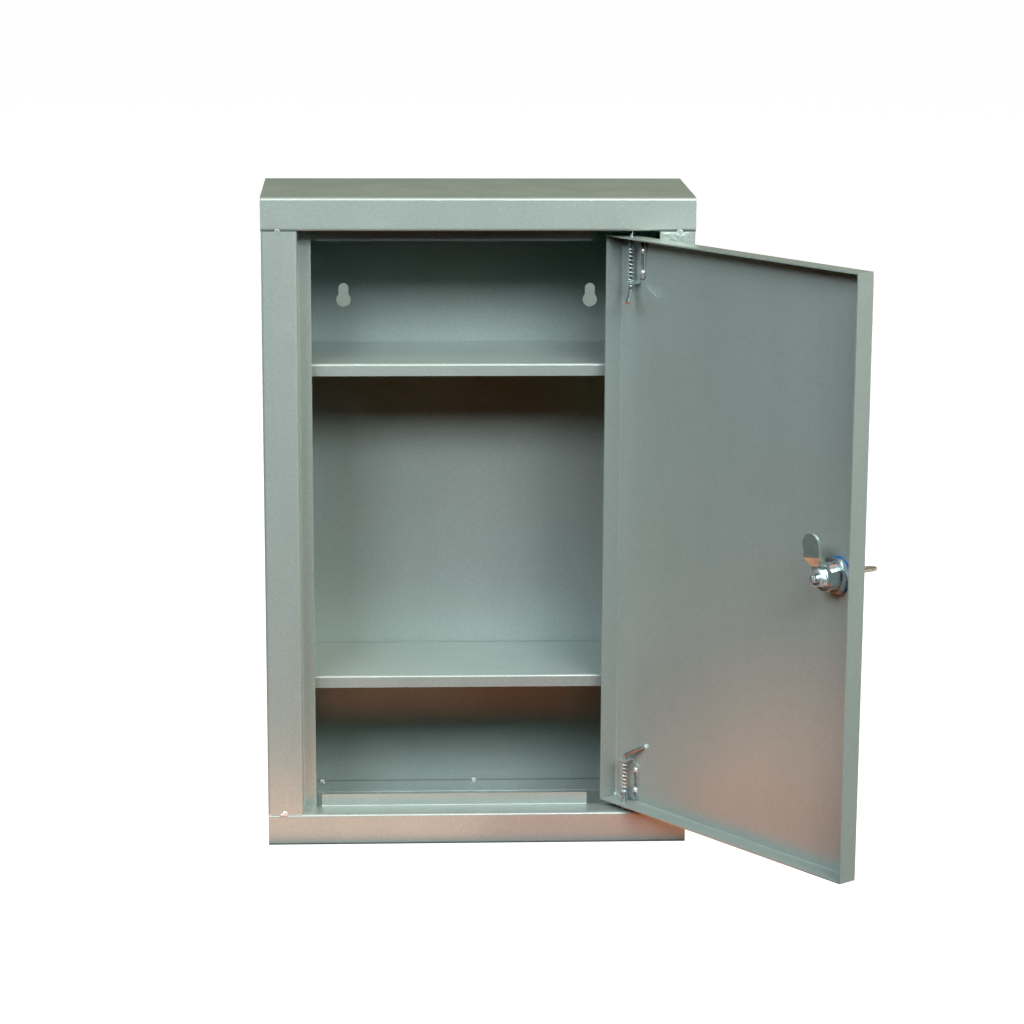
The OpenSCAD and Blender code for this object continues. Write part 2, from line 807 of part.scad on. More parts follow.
module wafer_springs() {
    color(zinc) at_plug() for (i = [0 : wafer_count - 1])
        translate([-0.05, wafer_w / 2 + wafer_tab_w / 2, wafer_z(i) + wafer_t / 2]) rotate([0, -90, 0])
            coil_spring(wafer_spring_r - wafer_spring_wire / 2, wafer_spring_wire, wafer_spring_len - 0.2, 5, 8, 4);
}

// Flat key: a round bow outside, and a blade with a cut for each wafer.
module key() {
    color("#b9ab92") at_plug() difference() {
        union() {
            translate([0, bow_t / 2, 0]) rotate([90, 0, 0]) linear_extrude(bow_t) {
                translate([0, -bow_far + bow_d / 2]) circle(d = bow_d);
                translate([-neck_w / 2, -bow_far + bow_d / 2]) square([neck_w, bow_far - bow_d / 2 + key_front]);
            }
            translate([0, blade_t / 2, 0]) rotate([90, 0, 0]) linear_extrude(blade_t) polygon([
                [-blade_w / 2, key_front - cut], [blade_w / 2, key_front - cut],
                [blade_w / 2, blade_end - blade_tip], [blade_tip_w / 2, blade_end],
                [-blade_tip_w / 2, blade_end], [-blade_w / 2, blade_end - blade_tip]
            ]);
        }
        translate([0, 0, -bow_far + 5]) rotate([90, 0, 0]) cylinder(d = 4.5, h = 2 * bow_t, center = true);
        for (i = [0 : wafer_count - 1])
            translate([(i % 2 == 0 ? 1 : -1) * (blade_w / 2 + 0.5), 0, wafer_z(i) + wafer_t / 2]) rotate([0, 45, 0])
                cube([1.9, 2 * blade_t, 1.9], center = true);
    }
}

back_panel();
left_side_panel();
right_side_panel();
top_panel();
bottom_panel();
upper_shelf();
lower_shelf();
door_panel();
upper_hinge_bracket();
lower_hinge_bracket();
bracket_studs();
upper_hinge_pin();
lower_hinge_pin();
upper_hinge_spring();
lower_hinge_spring();
lock_body();
lock_gasket();
lock_nut();
lock_plug();
stop_washer();
lock_cam();
cam_lock_washer();
cam_nut();
wafer_tumblers();
wafer_springs();
key();
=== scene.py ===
import math
import bpy
import bmesh
from mathutils import Matrix, Vector, noise


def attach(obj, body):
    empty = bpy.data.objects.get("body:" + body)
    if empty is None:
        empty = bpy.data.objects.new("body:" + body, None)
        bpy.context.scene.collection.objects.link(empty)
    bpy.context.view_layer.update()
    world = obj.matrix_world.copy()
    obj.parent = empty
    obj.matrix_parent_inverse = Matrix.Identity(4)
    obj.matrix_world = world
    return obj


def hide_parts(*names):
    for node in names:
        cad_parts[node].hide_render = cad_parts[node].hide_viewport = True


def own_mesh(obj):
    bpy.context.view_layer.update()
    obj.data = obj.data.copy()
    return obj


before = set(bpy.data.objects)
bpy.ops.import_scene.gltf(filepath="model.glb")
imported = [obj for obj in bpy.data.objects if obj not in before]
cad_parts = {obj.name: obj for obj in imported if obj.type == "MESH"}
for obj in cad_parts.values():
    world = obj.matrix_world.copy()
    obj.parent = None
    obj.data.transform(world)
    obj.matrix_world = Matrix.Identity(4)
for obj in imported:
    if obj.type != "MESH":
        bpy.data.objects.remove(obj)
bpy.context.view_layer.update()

# Camera: a long lens a little above the top of the cabinet and left of its middle,
# looking slightly down and to the right, so the open door and the shelves both show.
camera_place = Vector((-0.07192, -2.22287, 0.71396))
camera_down = math.radians(13.849)
camera_right = math.radians(2.875)
camera_roll = math.radians(0.354)
look = Vector((
    math.sin(camera_right) * math.cos(camera_down),
    math.cos(camera_right) * math.cos(camera_down),
    -math.sin(camera_down),
))
side = Vector((math.cos(camera_right), -math.sin(camera_right), 0.0))
above = side.cross(look)
camera_x = side * math.cos(camera_roll) + above * math.sin(camera_roll)
camera_y = above * math.cos(camera_roll) - side * math.sin(camera_roll)
camera_data = bpy.data.cameras.new("camera")
camera_data.sensor_width = 36.0
camera_data.lens = 110.62
camera_data.shift_x = -0.01725
camera_data.shift_y = 0.0859
camera_data.clip_end = 60.0
camera = bpy.data.objects.new("camera", camera_data)
camera.matrix_world = Matrix((
    (camera_x.x, camera_y.x, -look.x, camera_place.x),
    (camera_x.y, camera_y.y, -look.y, camera_place.y),
    (camera_x.z, camera_y.z, -look.z, camera_place.z),
    (0.0, 0.0, 0.0, 1.0),
))
bpy.context.scene.collection.objects.link(camera)
bpy.context.scene.camera = camera
print_tone = bpy.context.scene.view_settings
print_tone.view_transform = "Standard"
print_tone.use_curve_mapping = True
print_tone.curve_mapping.black_level = (0.010, 0.010, 0.010)
print_tone.curve_mapping.update()

# Studio floor: a plain pale sheet that the cabinet stands on. It takes soft shadows,
# and it throws no light back, so the hollows of the cabinet keep their depth.
floor_reach = 25.0
floor_z = -0.0003
floor_mesh = bpy.data.meshes.new("floor")
floor_mesh.from_pydata(
    [(x * floor_reach, y * floor_reach, floor_z) for x, y in ((-1, -1), (1, -1), (1, 1), (-1, 1))],
    [], [(0, 1, 2, 3)])
floor = bpy.data.objects.new("floor", floor_mesh)
bpy.context.scene.collection.objects.link(floor)
floor_paper = bpy.data.materials.new("floor_paper")
floor_paper.use_nodes = True
floor_shader = floor_paper.node_tree.nodes["Principled BSDF"]
floor_shader.inputs["Base Color"].default_value = (0.3, 0.3, 0.3, 1.0)
floor_shader.inputs["Roughness"].default_value = 1.0
floor_shader.inputs["Specular IOR Level"].default_value = 0.0
floor_shader.inputs["Emission Color"].default_value = (1.0, 1.0, 1.0, 1.0)
floor_shader.inputs["Emission Strength"].default_value = 0.98
floor_mesh.materials.append(floor_paper)
floor.visible_diffuse = False
floor.visible_glossy = False

# Wall card: the shaded wall close behind the cabinet, which shows only through the two
# keyholes. It has one face and only the camera sees it, so it hides nothing from behind.
card_left, card_right = -0.112, 0.104
card_low, card_high = 0.362, 0.402
card_y = 0.066
card_mesh = bpy.data.meshes.new("wall_card")
card_mesh.from_pydata(
    [(card_left, card_y, card_low), (card_right, card_y, card_low),
     (card_right, card_y, card_high), (card_left, card_y, card_high)],
    [], [(0, 1, 2, 3)])
wall_card = bpy.data.objects.new("wall_card", card_mesh)
bpy.context.scene.collection.objects.link(wall_card)
card_paper = bpy.data.materials.new("card_paper")
card_paper.use_nodes = True
card_nodes = card_paper.node_tree.nodes
card_links = card_paper.node_tree.links
card_nodes.remove(card_nodes["Principled BSDF"])
# the card glows with a fixed grey: the shade of the wall is painted on
card_grey = card_nodes.new("ShaderNodeEmission")
card_grey.inputs["Color"].default_value = (0.246, 0.301, 0.270, 1.0)
card_sides = card_nodes.new("ShaderNodeNewGeometry")
card_clear = card_nodes.new("ShaderNodeBsdfTransparent")
card_face = card_nodes.new("ShaderNodeMixShader")
card_links.new(card_sides.outputs["Backfacing"], card_face.inputs[0])
card_links.new(card_grey.outputs[0], card_face.inputs[1])
card_links.new(card_clear.outputs[0], card_face.inputs[2])
card_links.new(card_face.outputs[0], card_nodes["Material Output"].inputs["Surface"])
card_mesh.materials.append(card_paper)
wall_card.visible_diffuse = False
wall_card.visible_glossy = False
wall_card.visible_shadow = False

# Studio light: a dim even room with a white backdrop, rows of soft lamps in front of the
# cabinet and above it, a low pair behind it for its back, and low warm lamps for light
# thrown up by a wooden table.
studio = bpy.data.worlds.new("studio")
studio.use_nodes = True
studio_nodes = studio.node_tree.nodes
studio_links = studio.node_tree.links
room = studio_nodes["Background"]
room.inputs["Color"].default_value = (1.0, 0.75, 0.65, 1.0)
room.inputs["Strength"].default_value = 0.025
backdrop = studio_nodes.new("ShaderNodeBackground")
backdrop.inputs["Color"].default_value = (1.0, 1.0, 1.0, 1.0)
backdrop.inputs["Strength"].default_value = 1.0
ray = studio_nodes.new("ShaderNodeLightPath")
either = studio_nodes.new("ShaderNodeMixShader")
studio_links.new(ray.outputs["Is Camera Ray"], either.inputs[0])
studio_links.new(room.outputs[0], either.inputs[1])
studio_links.new(backdrop.outputs[0], either.inputs[2])
studio_links.new(either.outputs[0], studio_nodes["World Output"].inputs["Surface"])
bpy.context.scene.world = studio
cabinet_middle = (0.0, 0.0, 0.23)
lamp_away = 2.5


def soft_lamp(name, place, aim, width, height, power, tint):
    lamp_data = bpy.data.lights.new(name, "AREA")
    lamp_data.shape = "RECTANGLE"
    lamp_data.size = width
    lamp_data.size_y = height
    lamp_data.energy = power
    lamp_data.color = tint
    lamp = bpy.data.objects.new(name, lamp_data)
    lamp.location = place
    lamp.rotation_euler = (Vector(aim) - Vector(place)).to_track_quat("-Z", "Y").to_euler()
    lamp.visible_camera = False
    bpy.context.scene.collection.objects.link(lamp)
    return lamp


def ring_lamp(name, azimuth, elevation, width, height, power, tint):
    turn = math.radians(azimuth)
    rise = math.radians(elevation)
    place = (lamp_away * math.cos(rise) * math.sin(turn),
             -lamp_away * math.cos(rise) * math.cos(turn),
             cabinet_middle[2] + lamp_away * math.sin(rise))
    soft_lamp(name, place, cabinet_middle, width, height, power, tint)


# azimuth and elevation as seen from the cabinet, then power and tint
for azimuth, elevation, power, tint in (
        (-62, 41, 9.0, (0.60, 1.00, 0.95)), (-43, 32, 13.2, (0.96, 0.95, 1.00)),
        (-43, 50, 7.6, (0.72, 0.94, 1.00)), (-25, 32, 29.1, (0.84, 0.92, 1.00)),
        (-25, 50, 6.0, (1.00, 0.86, 0.95)), (12, 32, 17.0, (0.82, 0.98, 1.00)),
        (28, 32, 24.0, (0.97, 0.99, 1.00)), (45, 32, 14.2, (0.89, 1.00, 0.98)),
        (62, 32, 5.0, (0.88, 1.00, 0.70)), (28, 50, 7.9, (1.00, 0.74, 0.68)),
        (45, 50, 11.4, (0.97, 1.00, 0.77)), (62, 50, 18.4, (1.00, 0.84, 0.30)),
        (54, 15, 9.0, (0.52, 0.68, 1.00))):
    ring_lamp("soft_lamp", azimuth, elevation, 0.7, 0.6, power, tint)
for azimuth in (128, -128):
    ring_lamp("back_panel_lamp", azimuth, 5, 1.4, 0.8, 26.0, (0.95, 0.98, 0.96))
soft_lamp("top_lamp", (0.0, -0.4, 2.6), cabinet_middle, 0.8, 0.8, 3.0, (1.0, 0.3, 0.1))
for across, power, tint in ((-0.2, 0.27, (1.0, 0.42, 0.25)), (0.2, 0.18, (1.0, 0.22, 0.06))):
    soft_lamp("table_lamp", (across, -0.14, 0.0005), (across, -0.14, 1.0), 0.4, 0.13, power, tint)

# Lock glow: two strips of orange card, one on the table and one low beside the door, whose
# light reaches only the plated pieces of the lock.
lock_only = bpy.data.collections.new("lock_pieces")
for node_name in ("lock_cam", "cam_nut", "cam_lock_washer", "lock_nut", "lock_body", "lock_plug"):
    lock_only.objects.link(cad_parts[node_name])
lock_middle = (0.227, -0.22, 0.245)
for name, place, width, height, power in (
        ("amber_strip", (0.12, -0.42, 0.004), 0.3, 0.05, 0.13),
        ("amber_card", (0.150, -0.108, 0.110), 0.09, 0.05, 0.03)):
    amber = soft_lamp(name, place, lock_middle, width, height, power, (1.0, 0.25, 0.04))
    amber.light_linking.receiver_collection = lock_only

# Cabinet shell and door: 1 mm sheet steel, folded on a press brake and spot-welded, with two
# folded shelves welded in. All of it is sprayed with satin silver-grey paint, which is full
# of fine metal flakes, lies in soft passes and is a little rubbed. The top face carries a painted
# shade: it is darker and duller than the rest.


def add_node(tree, kind, **sockets):
    made = tree.nodes.new(kind)
    for socket, value in sockets.items():
        made.inputs[socket.replace("_", " ")].default_value = value
    return made


def colour_ramp(tree, fed_by, stops):
    ramp = tree.nodes.new("ShaderNodeValToRGB")
    edges = ramp.color_ramp.elements
    edges[0].position, edges[0].color = stops[0][0], (*stops[0][1], 1.0)
    edges[1].position, edges[1].color = stops[-1][0], (*stops[-1][1], 1.0)
    for place, shade in stops[1:-1]:
        edges.new(place).color = (*shade, 1.0)
    tree.links.new(fed_by, ramp.inputs["Fac"])
    return ramp.outputs["Color"]


def spread(tree, fed_by, low, high, from_low=0.0, from_high=1.0):
    ranged = add_node(tree, "ShaderNodeMapRange", From_Min=from_low, From_Max=from_high,
                      To_Min=low, To_Max=high)
    tree.links.new(fed_by, ranged.inputs["Value"])
    return ranged.outputs["Result"]


def reckon(tree, kind, first, second):
    reckoned = tree.nodes.new("ShaderNodeMath")
    reckoned.operation = kind
    tree.links.new(first, reckoned.inputs[0])
    tree.links.new(second, reckoned.inputs[1])
    return reckoned.outputs[0]


def blend_colours(tree, kind, amount, first, second):
    mix = tree.nodes.new("ShaderNodeMix")
    mix.data_type = "RGBA"
    mix.blend_type = kind
    if isinstance(amount, float):
        mix.inputs[0].default_value = amount
    else:
        tree.links.new(amount, mix.inputs[0])
    tree.links.new(first, mix.inputs[6])
    tree.links.new(second, mix.inputs[7])
    return mix.outputs[2]


def object_place(tree):
    return tree.nodes.new("ShaderNodeTexCoord").outputs["Object"]


def noise_of(tree, scale, detail, rough=0.5, stretch=None):
    place = object_place(tree)
    if stretch:
        turned = add_node(tree, "ShaderNodeMapping", Scale=stretch)
        tree.links.new(place, turned.inputs["Vector"])
        place = turned.outputs["Vector"]
    made = add_node(tree, "ShaderNodeTexNoise", Scale=scale, Detail=detail, Roughness=rough)
    tree.links.new(place, made.inputs["Vector"])
    return made.outputs["Fac"]


def bumped(tree, height, strength, distance, over=None):
    bump = add_node(tree, "ShaderNodeBump", Strength=strength, Distance=distance)
    tree.links.new(height, bump.inputs["Height"])
    if over:
        tree.links.new(over, bump.inputs["Normal"])
    return bump.outputs["Normal"]


def new_finish(name):
    finish = bpy.data.materials.new(name)
    finish.use_nodes = True
    return finish, finish.node_tree, finish.node_tree.nodes["Principled BSDF"]


def give_finish(node_name, finish):
    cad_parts[node_name].data.materials.clear()
    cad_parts[node_name].data.materials.append(finish)


def silver_paint(name, dark, light, gloss_low, gloss_high, top_shade=None):
    """Flaked paint. Where the last argument is given, it holds the height above which the top face
    is painted darker as painted shade, and the shade's two tones.
    """
    metal_share = 0.45
    clear_coat = 0.12
    paint, tree, shader = new_finish(name)
    link = tree.links.new
    shader.inputs["Metallic"].default_value = metal_share
    shader.inputs["Coat Weight"].default_value = clear_coat
    shader.inputs["Coat Roughness"].default_value = 0.22
    # slow drift of tone from one spray pass to the next
    drift = noise_of(tree, scale=7.0, detail=3.0, rough=0.55, stretch=(1.0, 1.0, 0.45))
    tone = colour_ramp(tree, drift, [(0.30, dark), (0.72, light)])
    # metal flakes lying at many angles in the paint
    flakes = add_node(tree, "ShaderNodeTexVoronoi", Scale=1400.0)
    link(object_place(tree), flakes.inputs["Vector"])
    flake_tone = tree.nodes.new("ShaderNodeSeparateColor")
    link(flakes.outputs["Color"], flake_tone.inputs[0])
    sparkle = colour_ramp(tree, flake_tone.outputs[0], [
        (0.0, (0.91, 0.915, 0.915)), (0.75, (1.0, 1.0, 1.0)),
        (0.97, (1.05, 1.045, 1.035)), (1.0, (1.18, 1.17, 1.15))])
    flecked = blend_colours(tree, "MULTIPLY", 1.0, tone, sparkle)
    # faint wiped marks and dust that settle in upright streaks
    wiped = noise_of(tree, scale=26.0, detail=5.0, rough=0.62, stretch=(1.0, 1.0, 0.16))
    rubbed = colour_ramp(tree, wiped, [
        (0.36, (0.975, 0.977, 0.977)), (0.50, (1.0, 1.0, 1.0)), (0.68, (1.02, 1.02, 1.018))])
    colour = blend_colours(tree, "MULTIPLY", 1.0, flecked, rubbed)
    # gloss that changes with the grain of the spray and with smears of handling
    grain = noise_of(tree, scale=950.0, detail=2.0, rough=0.6)
    handled = noise_of(tree, scale=40.0, detail=4.0, rough=0.6)
    sprayed_gloss = spread(tree, grain, gloss_low, gloss_high, from_low=0.3, from_high=0.7)
    smear = spread(tree, handled, -0.015, 0.02, from_low=0.3, from_high=0.7)
    gloss = reckon(tree, "ADD", sprayed_gloss, smear)
    # orange peel under a fine grain
    peel = bumped(tree, noise_of(tree, scale=210.0, detail=3.0), 0.10, 0.00008)
    link(bumped(tree, grain, 0.18, 0.00004, over=peel), shader.inputs["Normal"])
    if top_shade:
        # painted shade on the top face: darker there, and dull and without metal
        shade_level, shade_dark, shade_light = top_shade
        ease = 0.0004
        height = tree.nodes.new("ShaderNodeSeparateXYZ")
        link(object_place(tree), height.inputs[0])
        above_shade_level = spread(tree, height.outputs["Z"], 0.0, 1.0, shade_level - ease, shade_level)
        top_shade_noise = noise_of(tree, scale=22.0, detail=5.0, rough=0.65)
        top_shade_patches = spread(tree, top_shade_noise, 0.86, 1.0, from_low=0.3, from_high=0.6)
        top_shade_cover = reckon(tree, "MULTIPLY", above_shade_level, top_shade_patches)
        top_shade_tone = colour_ramp(tree, grain, [(0.3, shade_dark), (0.7, shade_light)])
        colour = blend_colours(tree, "MIX", top_shade_cover, colour, top_shade_tone)
        dull = tree.nodes.new("ShaderNodeMix")
        link(top_shade_cover, dull.inputs[0])
        link(gloss, dull.inputs[2])
        dull.inputs[3].default_value = 0.9
        gloss = dull.outputs[0]
        link(spread(tree, top_shade_cover, metal_share, 0.0), shader.inputs["Metallic"])
        link(spread(tree, top_shade_cover, clear_coat, 0.0), shader.inputs["Coat Weight"])
    link(colour, shader.inputs["Base Color"])
    link(gloss, shader.inputs["Roughness"])
    return paint


shell_dark, shell_light = (0.352, 0.412, 0.388), (0.378, 0.434, 0.407)
shell_gloss = (0.32, 0.40)
# height above which the top face is painted darker, as painted shade, then the shade's two tones
painted_top_shade = (0.465, (0.122, 0.148, 0.126), (0.150, 0.180, 0.156))
silver = silver_paint("silver_paint", shell_dark, shell_light, *shell_gloss)
top_shaded_silver = silver_paint("top_shaded_silver_paint", shell_dark, shell_light, *shell_gloss, painted_top_shade)
for node_name in ("back_panel", "left_side_panel", "right_side_panel", "bottom_panel",
                  "upper_shelf", "lower_shelf", "door_panel"):
    give_finish(node_name, silver)
give_finish("top_panel", top_shaded_silver)

# Seams of the shell: the head and foot panels butt against the side strips with a hairline
# gap, and the foot's back flange laps the back panel. Resistance and arc tacks hold them.
front = -0.0625
back_flange = 0.0606
hairline_half = 0.00022
hairline_proud = 0.00003
outward = (0.0, -1.0, 0.0)


def finished_piece(name, form, finish, body, smooth=False):
    bmesh.ops.recalc_face_normals(form, faces=form.faces)
    for face in form.faces:
        face.smooth = smooth
    piece_mesh = bpy.data.meshes.new(name)
    form.to_mesh(piece_mesh)
    form.free()
    piece_mesh.materials.append(finish)
    piece = bpy.data.objects.new(name, piece_mesh)
    bpy.context.scene.collection.objects.link(piece)
    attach(piece, body)


def seam(name, start, end, out, proud, half, finish, body):
    """A ragged line between two sheets: a thin closed strip that lies on the surface."""
    segment, sunk, wander_by, narrowed = 0.0012, 0.0002, 0.00007, 0.7
    start, end, out = Vector(start), Vector(end), Vector(out)
    along = (end - start).normalized()
    across = along.cross(out)
    count = max(12, int((end - start).length / segment))
    strip = bmesh.new()
    rings = []
    for k in range(count + 1):
        middle = start.lerp(end, k / count)
        wander = wander_by * noise.noise(middle * 600.0)
        ragged = abs(noise.noise(middle * 420.0 + Vector((7.0, 0.0, 0.0))))
        wide = half * (0.75 + 0.5 * ragged)
        centre = middle + across * wander
        rings.append([strip.verts.new(centre + across * a + out * b) for a, b in (
            (-wide, -sunk), (wide, -sunk), (wide * narrowed, proud), (-wide * narrowed, proud))])
    for k in range(count):
        for s in range(4):
            t = (s + 1) % 4
            strip.faces.new((rings[k][s], rings[k][t], rings[k + 1][t], rings[k + 1][s]))
    strip.faces.new(rings[0][::-1])
    strip.faces.new(rings[-1])
    finished_piece(name, strip, finish, body)


def strip_finish(name, low, high, rough):
    finish, tree, shader = new_finish(name)
    strip_mottle = noise_of(tree, scale=480.0, detail=4.0, rough=0.65)
    link = tree.links.new
    link(colour_ramp(tree, strip_mottle, [(0.32, low), (0.70, high)]), shader.inputs["Base Color"])
    link(spread(tree, strip_mottle, rough - 0.12, rough + 0.12, from_low=0.3, from_high=0.7),
         shader.inputs["Roughness"])
    link(bumped(tree, strip_mottle, 0.5, 0.0001), shader.inputs["Normal"])
    return finish


# painted shade: the dark strips stand for the shade inside the hairline gaps, and the faint one
# along the back flange is a paler painted shade
painted_gap_shade = strip_finish("painted_gap_shade", (0.010, 0.013, 0.014), (0.060, 0.068, 0.066), 0.7)
filled_gap = strip_finish("filled_gap", (0.42, 0.44, 0.42), (0.70, 0.71, 0.68), 0.45)
faint_gap_shade = strip_finish("faint_gap_shade", (0.075, 0.092, 0.092), (0.15, 0.17, 0.17), 0.6)
for name, left, right, y, z, finish in (
        ("head_seam_left", -0.1498, -0.1252, front, 0.442, painted_gap_shade),
        ("head_seam_right", 0.1252, 0.1498, front, 0.442, painted_gap_shade),
        ("foot_seam_left", -0.1498, -0.1258, front, 0.023, filled_gap),
        ("foot_seam_right", 0.1252, 0.1498, front, 0.023, painted_gap_shade),
        ("back_flange_seam", -0.1385, 0.1385, back_flange, 0.0101, faint_gap_shade)):
    seam(name, (left, y, z), (right, y, z), outward, hairline_proud, hairline_half, finish,
         "cabinet")

# Weld tacks: low lumps of weld metal across the seams. The two on the head are dressed and
# sprayed with the shell, and those at the foot and on the back flange stay pale and rough.
flange_tack_y = 0.0603


def tack_tree():
    tree = bpy.data.node_groups.new("weld_tacks", "GeometryNodeTree")
    sockets = []
    for label, kind in (("Spots", "Geometry"), ("Dome height", "Float"), ("Dent depth", "Float"),
                        ("Seed", "Int"), ("Coat", "Material")):
        made = tree.interface.new_socket(label, in_out="INPUT", socket_type="NodeSocket" + kind)
        sockets.append(made.identifier)
    tree.interface.new_socket("Tacks", in_out="OUTPUT", socket_type="NodeSocketGeometry")
    new, link = tree.nodes.new, tree.links.new
    given = new("NodeGroupInput")
    ball = new("GeometryNodeMeshIcoSphere")
    ball.inputs["Radius"].default_value = 1.0
    ball.inputs["Subdivisions"].default_value = 4
    radius = new("GeometryNodeInputNamedAttribute")
    radius.data_type = "FLOAT"
    radius.inputs["Name"].default_value = "tack_radius"
    # a flat dome, turned by chance about the axis that points out of the sheet
    flat = new("ShaderNodeCombineXYZ")
    link(radius.outputs["Attribute"], flat.inputs["X"])
    link(given.outputs["Dome height"], flat.inputs["Y"])
    link(radius.outputs["Attribute"], flat.inputs["Z"])
    spin = new("FunctionNodeRandomValue")
    spin.data_type = "FLOAT"
    least, most = 0.0, 6.28
    spin.inputs[2].default_value = least
    spin.inputs[3].default_value = most
    link(given.outputs["Seed"], spin.inputs["Seed"])
    turn = new("ShaderNodeCombineXYZ")
    link(spin.outputs[1], turn.inputs["Y"])
    placed = new("GeometryNodeInstanceOnPoints")
    link(given.outputs["Spots"], placed.inputs["Points"])
    link(ball.outputs["Mesh"], placed.inputs["Instance"])
    link(turn.outputs["Vector"], placed.inputs["Rotation"])
    link(flat.outputs["Vector"], placed.inputs["Scale"])
    real = new("GeometryNodeRealizeInstances")
    link(placed.outputs["Instances"], real.inputs["Geometry"])
    # lumps and dents, in and out about the dome
    lumps = new("ShaderNodeTexNoise")
    lumps.noise_dimensions = "3D"
    lumps.inputs["Scale"].default_value = 620.0
    lumps.inputs["Detail"].default_value = 3.0
    centred = new("ShaderNodeMath")
    centred.operation = "SUBTRACT"
    centred.inputs[1].default_value = 0.5
    link(lumps.outputs["Fac"], centred.inputs[0])
    depth = new("ShaderNodeMath")
    depth.operation = "MULTIPLY"
    link(centred.outputs[0], depth.inputs[0])
    link(given.outputs["Dent depth"], depth.inputs[1])
    facing = new("GeometryNodeInputNormal")
    dent = new("ShaderNodeVectorMath")
    dent.operation = "SCALE"
    link(facing.outputs["Normal"], dent.inputs[0])
    link(depth.outputs[0], dent.inputs["Scale"])
    moved = new("GeometryNodeSetPosition")
    link(real.outputs["Geometry"], moved.inputs["Geometry"])
    link(dent.outputs["Vector"], moved.inputs["Offset"])
    smooth = new("GeometryNodeSetShadeSmooth")
    link(moved.outputs["Geometry"], smooth.inputs["Geometry"])
    coated = new("GeometryNodeSetMaterial")
    link(given.outputs["Coat"], coated.inputs["Material"])
    link(smooth.outputs["Geometry"], coated.inputs["Geometry"])
    link(coated.outputs["Geometry"], new("NodeGroupOutput").inputs[0])
    return tree, sockets


def grown_piece(name, start_mesh, tree, inputs):
    """The result of a node tree on a starting mesh, as a plain mesh piece."""
    start = bpy.data.objects.new(name + "_start", start_mesh)
    bpy.context.scene.collection.objects.link(start)
    growing = start.modifiers.new("growing", "NODES")
    growing.node_group = tree
    for socket, value in inputs:
        growing[socket] = value
    bpy.context.view_layer.update()
    ready = start.evaluated_get(bpy.context.evaluated_depsgraph_get())
    result = bpy.data.meshes.new_from_object(ready)
    start.modifiers.remove(growing)
    bpy.data.objects.remove(start)
    result.name = name
    piece = bpy.data.objects.new(name, result)
    bpy.context.scene.collection.objects.link(piece)
    return piece


tack_group, tack_sockets = tack_tree()


def weld_tacks(name, body, spots, dome, dent, seed, coat):
    spots_mesh = bpy.data.meshes.new(name + "_spots")
    spots_mesh.from_pydata([place for place, _ in spots], [], [])
    radii = spots_mesh.attributes.new("tack_radius", "FLOAT", "POINT")
    for k, (_, radius) in enumerate(spots):
        radii.data[k].value = radius
    # the first socket takes the spots themselves
    tacks = grown_piece(name, spots_mesh, tack_group,
                        zip(tack_sockets[1:], (dome, dent, seed, coat)))
    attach(tacks, body)


weld_paint = silver_paint("painted_weld", (0.50, 0.54, 0.52), (0.66, 0.69, 0.67), 0.26, 0.40)
weld_tacks("head_tacks", "cabinet", [
    ((-0.1384, front, 0.4414), 0.0021), ((0.1388, front, 0.4408), 0.0026)],
    0.0002, 0.0005, 4, silver)
weld_tacks("foot_tacks", "cabinet", [
    ((-0.1382, front, 0.0234), 0.0021), ((-0.1405, front, 0.0226), 0.0013),
    ((-0.1137, flange_tack_y, 0.0098), 0.0020), ((-0.1128, flange_tack_y, 0.0090), 0.0014),
    ((0.0014, flange_tack_y, 0.0098), 0.0022)], 0.0007, 0.0008, 4, weld_paint)

# Filler pad: body filler wiped over the welded joint inside the right head corner. It is
# thin and wavy, is rubbed down a little, and is sprayed with the shell.
pad_left, pad_right, pad_low, pad_high = 0.1262, 0.1452, 0.4345, 0.4412
pad_proud, pad_sunk = 0.00045, 0.00025
pad_slant, pad_ragged = 0.0030, 0.0007
columns, rows = 60, 26
pad = bmesh.new()
top_grid, under_grid = [], []
for r in range(rows + 1):
    top_row, under_row = [], []
    for c in range(columns + 1):
        u, v = c / columns, r / rows
        x = pad_left + (pad_right - pad_left) * u
        z = pad_low + (pad_high - pad_low) * v - pad_slant * u * (1.0 - v)
        x += pad_ragged * noise.noise(Vector((5.0, v * 3.0, 1.0))) * (1.0 - 2.0 * u)
        edge = min(1.0, 6.0 * min(u, 1.0 - u), 4.0 * min(v, 1.0 - v) + 0.02)
        wave = 0.55 + 0.75 * noise.noise(Vector((u * 7.0, v * 2.2 + u * 3.0, 3.0)))
        bump = pad_proud * math.sin(math.pi * 0.5 * edge) * wave
        top_row.append(pad.verts.new((x, front - bump, z)))
        under_row.append(pad.verts.new((x, front + pad_sunk, z)))
    top_grid.append(top_row)
    under_grid.append(under_row)
for r in range(rows):
    for c in range(columns):
        for grid in (top_grid, under_grid):
            pad.faces.new((grid[r][c], grid[r][c + 1], grid[r + 1][c + 1], grid[r + 1][c]))
rim = [(0, c) for c in range(columns)] + [(r, columns) for r in range(rows)]
rim += [(rows, c) for c in range(columns, 0, -1)] + [(r, 0) for r in range(rows, 0, -1)]
for (r, c), (r2, c2) in zip(rim, rim[1:] + rim[:1]):
    pad.faces.new((top_grid[r][c], under_grid[r][c], under_grid[r2][c2], top_grid[r2][c2]))
finished_piece("filler_pad", pad, silver, "cabinet", smooth=True)

# Hinge fittings: stamped brackets and drawn steel pins with bright zinc plating, which
# turns faintly blue and yellow and carries the fine marks of the press and of handling.
# swing carries what is measured on the closed door to the door as it stands open.
pin_x, pin_y = 0.106, -0.05475
skin_inside = front + 0.001
swing = (Matrix.Translation((pin_x, pin_y, 0.0)) @ Matrix.Rotation(math.radians(127.0), 4, "Z")
         @ Matrix.Translation((-pin_x, -pin_y, 0.0)))
inward = swing.to_3x3() @ Vector((0.0, 1.0, 0.0))


